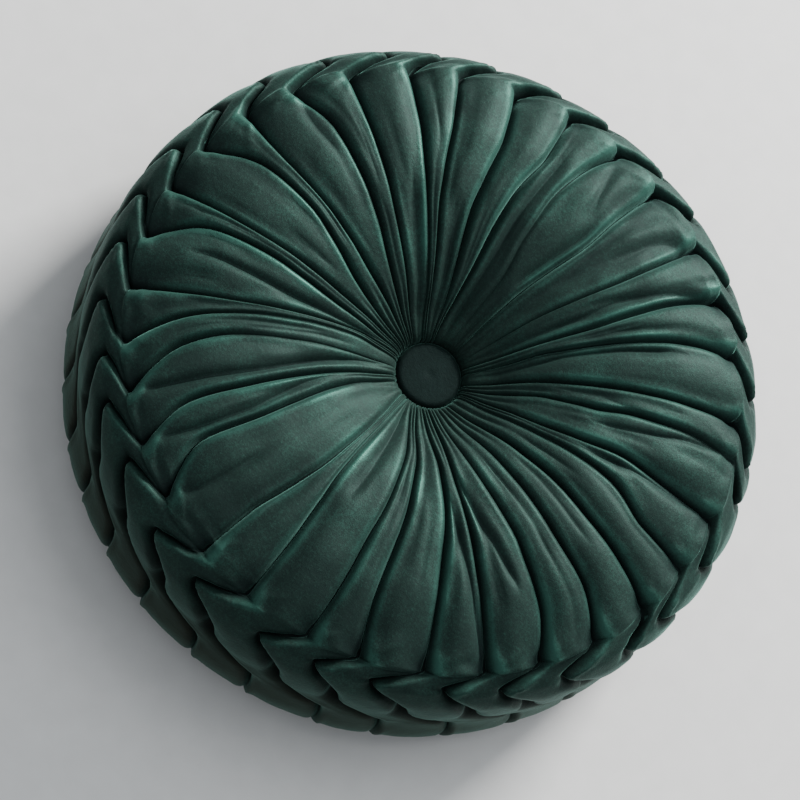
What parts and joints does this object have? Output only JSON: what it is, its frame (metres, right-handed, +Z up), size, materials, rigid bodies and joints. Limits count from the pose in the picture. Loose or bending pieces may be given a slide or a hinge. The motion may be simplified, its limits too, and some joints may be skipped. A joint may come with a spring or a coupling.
{
  "type": "round velvet cushion",
  "caption": "Round filled velvet cushion with a radially gathered face, a smocked side band and a covered button at each hub, lying on its back.",
  "frame": {"origin": "centre of the cushion's box in plan, on the surface it lies on", "axes": "+Z up through both buttons, out of the gathered face; X and Y in the plane of the face"},
  "size_m": [0.3794, 0.3792, 0.118],
  "materials": {
    "velvet_cover": "short-pile velvet, soft sheen",
    "velvet_button": "short-pile velvet, stretched over a shell"
  },
  "bodies": {
    "root": {"cushion": "velvet_cover", "top_button": "velvet_button", "bottom_button": "velvet_button"}
  },
  "joints": []
}
